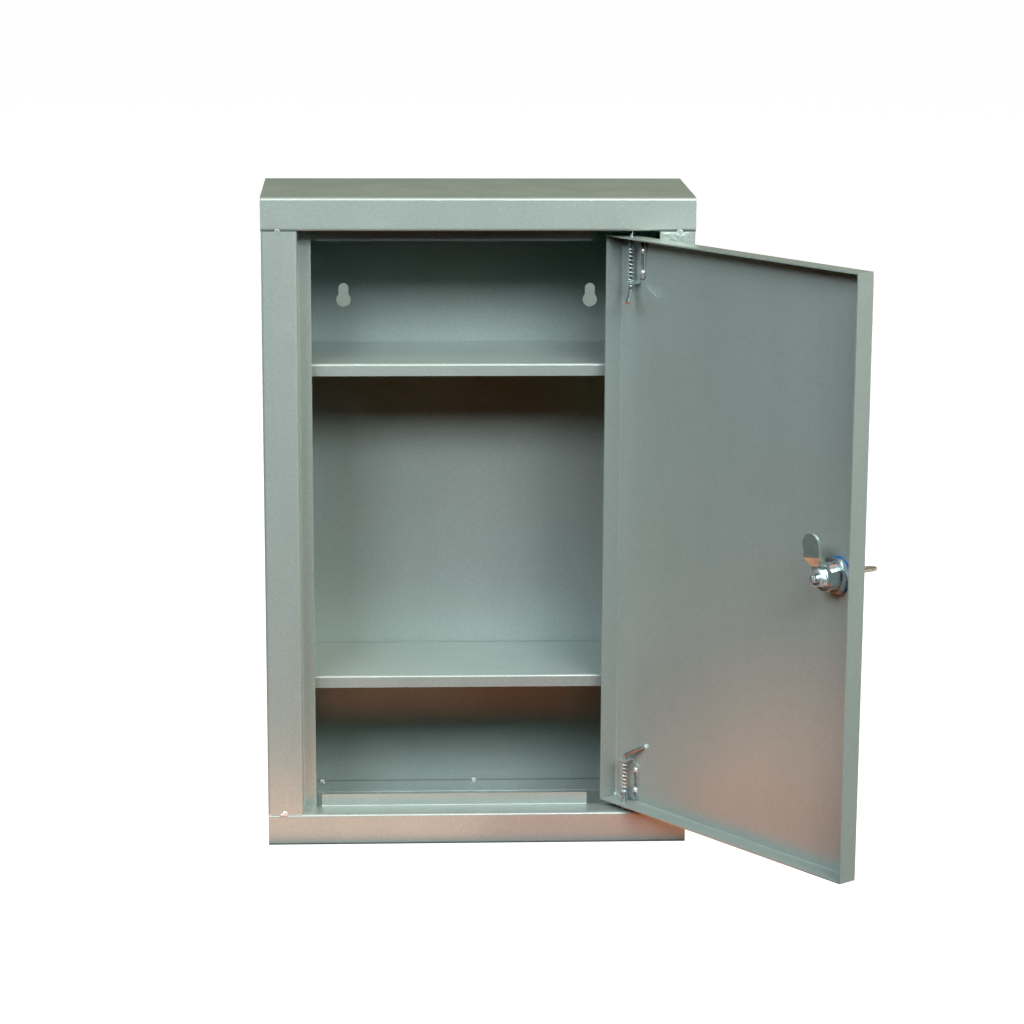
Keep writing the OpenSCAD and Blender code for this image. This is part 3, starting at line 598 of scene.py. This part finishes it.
def zinc_plate(name, dark, light, metal, gloss_low, gloss_high, grain, stretch):
    plate, tree, shader = new_finish(name)
    link = tree.links.new
    shader.inputs["Metallic"].default_value = metal
    cloud = noise_of(tree, scale=160.0, detail=3.0, rough=0.6)
    brightest = tuple(min(1.0, v * 1.06) for v in light)
    bright = colour_ramp(tree, cloud, [(0.30, dark), (0.55, light), (0.75, brightest)])
    tint = noise_of(tree, scale=75.0, detail=2.0)
    passivated = colour_ramp(tree, tint, [
        (0.35, (0.90, 0.96, 1.0)), (0.50, (1.0, 1.0, 1.0)), (0.66, (1.0, 0.975, 0.90))])
    link(blend_colours(tree, "MULTIPLY", 1.0, bright, passivated), shader.inputs["Base Color"])
    marks = noise_of(tree, scale=grain, detail=4.0, rough=0.7, stretch=stretch)
    link(spread(tree, marks, gloss_low, gloss_high, from_low=0.3, from_high=0.7),
         shader.inputs["Roughness"])
    link(bumped(tree, marks, 0.25, 0.00004), shader.inputs["Normal"])
    return plate


even = (1.0, 1.0, 1.0)
bracket_zinc = zinc_plate("bracket_zinc", (0.26, 0.30, 0.29), (0.38, 0.42, 0.41),
                          0.45, 0.34, 0.46, 420.0, (1.0, 1.0, 0.3))
stud_zinc = zinc_plate("stud_zinc", (0.50, 0.55, 0.56), (0.76, 0.80, 0.80),
                       0.70, 0.18, 0.30, 700.0, even)
pin_zinc = zinc_plate("pin_zinc", (0.24, 0.30, 0.31), (0.42, 0.48, 0.48),
                      0.90, 0.16, 0.28, 700.0, (1.0, 1.0, 0.08))
spring_steel = zinc_plate("spring_steel", (0.62, 0.68, 0.68), (0.84, 0.90, 0.89),
                          0.70, 0.20, 0.32, 900.0, even)
for node_name, finish in (
        ("upper_hinge_bracket", bracket_zinc), ("lower_hinge_bracket", bracket_zinc),
        ("bracket_studs", stud_zinc), ("upper_hinge_pin", pin_zinc), ("lower_hinge_pin", pin_zinc),
        ("upper_hinge_spring", spring_steel), ("lower_hinge_spring", spring_steel)):
    give_finish(node_name, finish)

# Bracket slots: each bracket has one long punched slot. Behind it the door's skin lies in
# deep shade, which is painted on a dark strip along each slot.
slot_x = pin_x - 0.0057
slot_near, slot_far = 0.0042, 0.0262
slot_shade_half, slot_shade_proud = 0.00115, 0.0001
for name, flange_z, rise in (("lower_slot_shade", 0.0275, 1.0), ("upper_slot_shade", 0.4375, -1.0)):
    near, far = (swing @ Vector((slot_x, skin_inside, flange_z + rise * reach))
                 for reach in (slot_near, slot_far))
    seam(name, near, far, inward, slot_shade_proud, slot_shade_half, painted_gap_shade, "door")

# Pin glint: a short bright line on the paint of the door's inside, below the free end of
# the upper pin's tail, is a painted glint.
glint_half = 0.0003
painted_glint_line = strip_finish("painted_glint_line", (0.36, 0.42, 0.41), (0.56, 0.62, 0.60), 0.4)
seam("pin_glint", swing @ Vector((0.0952, skin_inside, 0.4026)),
     swing @ Vector((0.0857, skin_inside, 0.3967)), inward, hairline_proud, glint_half,
     painted_glint_line, "door")

# Hinge springs: round music wire, cold wound with its end turns closed, slipped over the
# pin between the pin's ears and the bracket's lug.
coil_turns = 10
wire_d = 0.0006
coil_r = 0.00195
coil_len = 0.0237


def coil_tree(wire_finish):
    tree = bpy.data.node_groups.new("coil_spring", "GeometryNodeTree")
    tree.interface.new_socket("Start", in_out="INPUT", socket_type="NodeSocketGeometry")
    sockets = {}
    for label, kind in (("Turns", "Float"), ("Coil radius", "Float"), ("Wire radius", "Float"),
                        ("Length", "Float"), ("Place", "Vector")):
        made = tree.interface.new_socket(label, in_out="INPUT", socket_type="NodeSocket" + kind)
        sockets[label] = made.identifier
    tree.interface.new_socket("Spring", in_out="OUTPUT", socket_type="NodeSocketGeometry")
    new, link = tree.nodes.new, tree.links.new
    given = new("NodeGroupInput")
    helix = new("GeometryNodeCurveSpiral")
    helix.inputs["Resolution"].default_value = 40
    helix.inputs["Height"].default_value = 0.0
    link(given.outputs["Turns"], helix.inputs["Rotations"])
    link(given.outputs["Coil radius"], helix.inputs["Start Radius"])
    link(given.outputs["Coil radius"], helix.inputs["End Radius"])
    along = new("GeometryNodeSplineParameter")
    # share of the length that is reached along the wire: the first and last turns lie closed
    rise = new("ShaderNodeFloatCurve")
    points = rise.mapping.curves[0].points
    closed = (1.5 * wire_d) / coil_len
    points[0].location = (0.0, 0.5 * wire_d / coil_len)
    points[1].location = (1.0, 1.0 - 0.5 * wire_d / coil_len)
    for place, height in ((1.0 / coil_turns, closed), (1.0 - 1.0 / coil_turns, 1.0 - closed)):
        points.new(place, height)
    for point in points:
        point.handle_type = "VECTOR"
    rise.mapping.update()
    link(along.outputs["Factor"], rise.inputs["Value"])
    height = new("ShaderNodeMath")
    height.operation = "MULTIPLY"
    link(rise.outputs["Value"], height.inputs[0])
    link(given.outputs["Length"], height.inputs[1])
    lift = new("ShaderNodeCombineXYZ")
    link(height.outputs[0], lift.inputs["Z"])
    moved = new("GeometryNodeSetPosition")
    link(helix.outputs["Curve"], moved.inputs["Geometry"])
    link(lift.outputs["Vector"], moved.inputs["Offset"])
    section = new("GeometryNodeCurvePrimitiveCircle")
    section.inputs["Resolution"].default_value = 10
    link(given.outputs["Wire radius"], section.inputs["Radius"])
    wire = new("GeometryNodeCurveToMesh")
    wire.inputs["Fill Caps"].default_value = True
    link(moved.outputs["Geometry"], wire.inputs["Curve"])
    link(section.outputs["Curve"], wire.inputs["Profile Curve"])
    smooth = new("GeometryNodeSetShadeSmooth")
    link(wire.outputs["Mesh"], smooth.inputs["Geometry"])
    stood = new("GeometryNodeTransform")
    link(smooth.outputs["Geometry"], stood.inputs["Geometry"])
    link(given.outputs["Place"], stood.inputs["Translation"])
    real = new("GeometryNodeRealizeInstances")
    link(stood.outputs["Geometry"], real.inputs["Geometry"])
    coated = new("GeometryNodeSetMaterial")
    coated.inputs["Material"].default_value = wire_finish
    link(real.outputs["Geometry"], coated.inputs["Geometry"])
    link(coated.outputs["Geometry"], new("NodeGroupOutput").inputs[0])
    return tree, sockets


coil_group, coil_sockets = coil_tree(spring_steel)
for which, low_end, lug_end in (("upper", 0.40575, 0.40575), ("lower", 0.03555, 0.05925)):
    coil_sizes = {"Turns": float(coil_turns), "Coil radius": coil_r, "Wire radius": wire_d / 2,
                  "Length": coil_len, "Place": (pin_x, pin_y, low_end)}
    coil = grown_piece(which + "_coil", bpy.data.meshes.new(which + "_coil_start"), coil_group,
                       [(coil_sockets[label], value) for label, value in coil_sizes.items()])
    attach(coil, "door")
    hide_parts(which + "_hinge_spring")
    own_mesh(coil)

# Door tack: one small arc weld, left as it set, closes the corner of the folded tray where
# the hinge flange meets the foot flange.
weld_tacks("door_corner_tack", "door", [(swing @ Vector((0.1222, -0.0607, 0.0291)), 0.0013)],
           0.0013, 0.0008, 9, weld_paint)

# Cam lock: a turned zinc alloy body with a nickel plated, threaded barrel, pulled tight on
# the door by its hex nut over a blue sealing ring. Its plug carries the cam on a flatted
# tail, under a toothed washer and a small nut.
lock_x, lock_z = -0.0963, 0.2338
cam_lean = math.radians(8.0)
lock_set = (swing @ Matrix.Translation((lock_x, front, lock_z))
            @ Matrix.Rotation(math.radians(-90.0), 4, "X"))
plug_set = lock_set @ Matrix.Rotation(cam_lean, 4, "Z")


def turned_nickel(name, dark, light, metal, gloss_low, gloss_high):
    nickel, tree, shader = new_finish(name)
    link = tree.links.new
    shader.inputs["Metallic"].default_value = metal
    cloud = noise_of(tree, scale=230.0, detail=3.0, rough=0.6)
    plating = colour_ramp(tree, cloud, [(0.30, dark), (0.60, light)])
    # a thin haze where the plating is rubbed
    haze = noise_of(tree, scale=900.0, detail=3.0, rough=0.7)
    rubbed = colour_ramp(tree, haze, [
        (0.35, (0.90, 0.95, 0.98)), (0.55, (1.0, 1.0, 1.0)), (0.72, (1.0, 0.98, 0.93))])
    link(blend_colours(tree, "MULTIPLY", 1.0, plating, rubbed), shader.inputs["Base Color"])
    link(spread(tree, haze, gloss_low, gloss_high, from_low=0.3, from_high=0.7),
         shader.inputs["Roughness"])
    # turning marks run round the lock's axis
    centred = tree.nodes.new("ShaderNodeMapping")
    centred.vector_type = "TEXTURE"
    centred.inputs["Location"].default_value = lock_set.to_translation()
    centred.inputs["Rotation"].default_value = lock_set.to_euler("XYZ")
    link(object_place(tree), centred.inputs["Vector"])
    rings = add_node(tree, "ShaderNodeTexWave", Scale=900.0, Distortion=1.5, Detail=2.0)
    rings.wave_type = "RINGS"
    rings.rings_direction = "Z"
    link(centred.outputs["Vector"], rings.inputs["Vector"])
    marks = bumped(tree, rings.outputs["Fac"], 0.12, 0.00003)
    link(bumped(tree, haze, 0.05, 0.00002, over=marks), shader.inputs["Normal"])
    return nickel


barrel_nickel = turned_nickel("barrel_nickel", (0.55, 0.66, 0.69), (0.80, 0.88, 0.90),
                              0.90, 0.12, 0.26)
nut_nickel = turned_nickel("nut_nickel", (0.40, 0.47, 0.46), (0.50, 0.57, 0.56),
                           0.75, 0.20, 0.26)
cam_zinc = zinc_plate("cam_zinc", (0.42, 0.54, 0.51), (0.54, 0.66, 0.62),
                      0.80, 0.17, 0.27, 380.0, (1.0, 1.0, 0.25))
for node_name, finish in (
        ("lock_body", barrel_nickel), ("lock_plug", barrel_nickel), ("lock_nut", nut_nickel),
        ("stop_washer", cam_zinc), ("lock_cam", cam_zinc), ("cam_lock_washer", stud_zinc),
        ("cam_nut", stud_zinc), ("wafer_springs", spring_steel)):
    give_finish(node_name, finish)


def thread(name, body, placed, start, end, crest_r, depth, pitch, flat_half, flats_on_x, steps):
    """Rolled thread round a flatted shaft: a closed sleeve whose outside follows the helix."""
    rings_per_pitch, run_out, first_depth, sleeve_wall = 8, 0.6, 0.15, 0.0004
    flank, root_flat = 1.35, 0.1
    sleeve = bmesh.new()
    rings = max(8, int((end - start) / pitch * rings_per_pitch))
    outer, inner = [], []
    for k in range(rings + 1):
        at = start + (end - start) * k / rings
        lead_in = min(1.0, min(at - start, end - at) / (run_out * pitch) + first_depth)
        outer_ring, inner_ring = [], []
        for s in range(steps):
            angle = 2.0 * math.pi * s / steps
            phase = (at / pitch - s / steps) % 1.0
            tooth = 1.0 - abs(2.0 * phase - 1.0)
            tooth = min(1.0, max(0.0, flank * tooth - root_flat))
            reach = crest_r - depth + depth * tooth * lead_in
            facing = abs(math.cos(angle)) if flats_on_x else abs(math.sin(angle))
            if facing * reach > flat_half:
                reach = flat_half / facing
            core = reach - sleeve_wall
            for ring, r in ((outer_ring, reach), (inner_ring, core)):
                spot = Vector((r * math.cos(angle), r * math.sin(angle), at))
                ring.append(sleeve.verts.new(placed @ spot))
        outer.append(outer_ring)
        inner.append(inner_ring)
    for k in range(rings):
        for s in range(steps):
            t = (s + 1) % steps
            sleeve.faces.new((outer[k][s], outer[k][t], outer[k + 1][t], outer[k + 1][s]))
            sleeve.faces.new((inner[k][s], inner[k + 1][s], inner[k + 1][t], inner[k][t]))
    for k in (0, rings):
        for s in range(steps):
            t = (s + 1) % steps
            sleeve.faces.new((outer[k][s], inner[k][s], inner[k][t], outer[k][t]))
    finished_piece(name, sleeve, barrel_nickel, body)


thread("barrel_thread", "door", lock_set, start=0.00612, end=0.0153, crest_r=0.00925,
       depth=0.00028, pitch=0.00125, flat_half=0.00777, flats_on_x=True, steps=144)
thread("tail_thread", "lock_core", plug_set, start=0.02112, end=0.02395, crest_r=0.00345,
       depth=0.00018, pitch=0.0007, flat_half=0.00262, flats_on_x=False, steps=72)

# Staked tail end: the plug's flatted tail is punched once the nut is tight. The punch locks
# the nut, and leaves a small raised star on the end face.
tail_end = 0.0241
star_r, star_wave, star_points, star_steps = 0.00205, 0.00050, 6.0, 72
star_dip = 0.00012
star = bmesh.new()
star_rings = []
for height, size in ((-0.0002, 1.0), (0.00022, 1.0), (0.00038, 0.86), (0.00030, 0.45)):
    ring = []
    for s in range(star_steps):
        angle = 2.0 * math.pi * s / star_steps
        reach = (star_r + star_wave * math.cos(star_points * angle)) * size
        ring.append(star.verts.new(plug_set @ Vector((
            reach * math.cos(angle), reach * math.sin(angle), tail_end + height))))
    star_rings.append(ring)
for ring, next_ring in zip(star_rings, star_rings[1:]):
    for s in range(star_steps):
        t = (s + 1) % star_steps
        star.faces.new((ring[s], ring[t], next_ring[t], next_ring[s]))
middle = star.verts.new(plug_set @ Vector((0.0, 0.0, tail_end + star_dip)))
for s in range(star_steps):
    star.faces.new((star_rings[-1][s], star_rings[-1][(s + 1) % star_steps], middle))
star.faces.new(star_rings[0][::-1])
finished_piece("staked_star", star, stud_zinc, "lock_core", smooth=True)

# Sealing ring: soft blue plastic, punched from sheet and squeezed under the nut, so it is
# slightly glossy on its face and dusty at its edge.
ring_blue, ring_tree, ring_shader = new_finish("ring_blue")
ring_shader.inputs["Specular IOR Level"].default_value = 0.6
mottle = noise_of(ring_tree, scale=420.0, detail=4.0, rough=0.6)
ring_tree.links.new(colour_ramp(ring_tree, mottle, [
    (0.30, (0.006, 0.085, 0.32)), (0.55, (0.012, 0.16, 0.52)), (0.75, (0.03, 0.24, 0.62))]),
    ring_shader.inputs["Base Color"])
ring_tree.links.new(spread(ring_tree, mottle, 0.32, 0.58, from_low=0.3, from_high=0.7),
                    ring_shader.inputs["Roughness"])
ring_tree.links.new(bumped(ring_tree, mottle, 0.3, 0.00006), ring_shader.inputs["Normal"])
give_finish("lock_gasket", ring_blue)

# Wafers and key: the wafers are stamped from brass sheet. The key is milled nickel silver,
# rubbed dull on its bow by fingers and scored along its blade by the wafers.
wafer_brass = zinc_plate("wafer_brass", (0.52, 0.36, 0.14), (0.80, 0.60, 0.28),
                         0.9, 0.24, 0.42, 600.0, even)
key_nickel = zinc_plate("key_nickel", (0.36, 0.32, 0.26), (0.54, 0.49, 0.41),
                        0.6, 0.24, 0.44, 520.0, (1.0, 0.25, 1.0))
give_finish("wafer_tumblers", wafer_brass)
give_finish("key", key_nickel)
